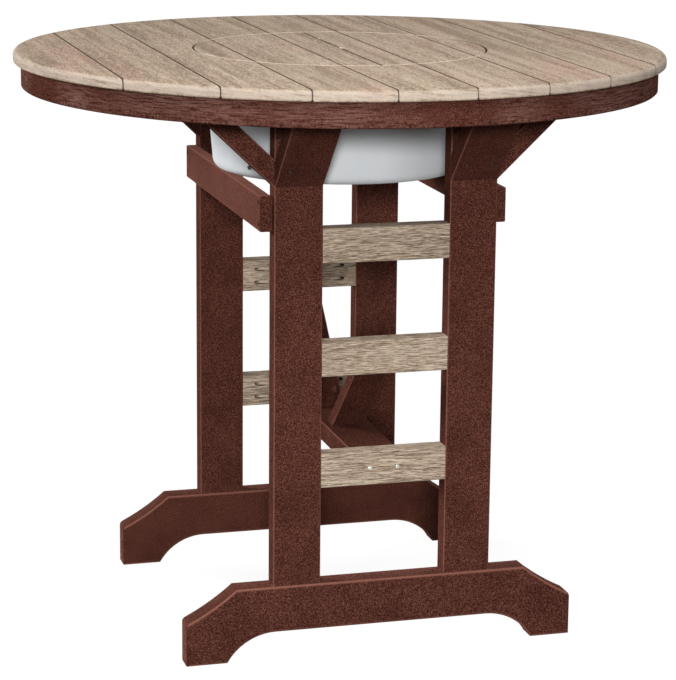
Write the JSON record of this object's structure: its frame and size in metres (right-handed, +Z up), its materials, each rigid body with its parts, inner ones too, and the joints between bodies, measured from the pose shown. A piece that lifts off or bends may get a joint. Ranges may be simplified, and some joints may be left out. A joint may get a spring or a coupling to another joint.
{
  "type": "pub table",
  "caption": "Round bar-height table of tan and brown boards on two trestles with swept arched feet, with a split round lid over an ice tub sunk in the top.",
  "frame": {"origin": "on the floor, under the centre of the round top", "axes": "+Z up; +X along the slats of the trestles, to the right of someone who faces the front trestle; +Y from the front trestle, with three slats, to the back one, with two"},
  "size_m": [1.219, 1.219, 1.08],
  "materials": {
    "tan_board": "satin, with fine streaks along each board",
    "brown_board": "satin, with a fine pebbled grain",
    "white_plastic": "soft sheen",
    "dark_rubber": "matte",
    "zinc_steel": "satin"
  },
  "bodies": {
    "table": {"plank_1": "tan_board", "plank_2": "tan_board", "plank_3": "tan_board", "plank_4_front": "tan_board", "plank_4_back": "tan_board", "plank_5_front": "tan_board", "plank_5_back": "tan_board", "plank_6_front": "tan_board", "plank_6_back": "tan_board", "plank_7": "tan_board", "plank_8": "tan_board", "plank_9": "tan_board", "apron_ring": "brown_board", "apron_blocks": "tan_board", "batten_front": "tan_board", "batten_back": "tan_board", "outer_batten_front": "tan_board", "outer_batten_back": "tan_board", "side_batten_left": "tan_board", "side_batten_right": "tan_board", "ledge_ring": "tan_board", "leg_front_left": "brown_board", "leg_front_right": "brown_board", "leg_back_left": "brown_board", "leg_back_right": "brown_board", "foot_front": "brown_board", "foot_back": "brown_board", "foot_bolts": "zinc_steel", "slat_front_low": "tan_board", "slat_front_mid": "tan_board", "slat_front_high": "tan_board", "slat_back_low": "tan_board", "slat_back_high": "tan_board", "side_rail_left": "brown_board", "side_rail_right": "brown_board", "knee_brace_front_left": "brown_board", "knee_brace_front_right": "brown_board", "knee_brace_back_left": "brown_board", "knee_brace_back_right": "brown_board", "side_brace_front_left": "brown_board", "side_brace_front_right": "brown_board", "side_brace_back_left": "brown_board", "side_brace_back_right": "brown_board", "stretcher": "brown_board", "stretcher_brace_front": "brown_board", "stretcher_brace_back": "brown_board"},
    "tub": {"tub": "white_plastic", "drain_plug": "dark_rubber"},
    "lid_left": {"lid_left_inner": "tan_board", "lid_left_middle": "tan_board", "lid_left_outer": "tan_board", "lid_left_cleats": "tan_board"},
    "lid_right": {"lid_right_inner": "tan_board", "lid_right_middle": "tan_board", "lid_right_outer": "tan_board", "lid_right_cleats": "tan_board"}
  },
  "joints": [
    {"name": "tub_lift", "type": "slide", "parent": "table", "child": "tub", "axis": [0, 0, 1], "range_m": [0, 0.23]},
    {"name": "lid_left_lift", "type": "slide", "parent": "tub", "child": "lid_left", "axis": [0, 0, 1], "range_m": [0, 0.15]},
    {"name": "lid_right_lift", "type": "slide", "parent": "tub", "child": "lid_right", "axis": [0, 0, 1], "range_m": [0, 0.15]}
  ]
}
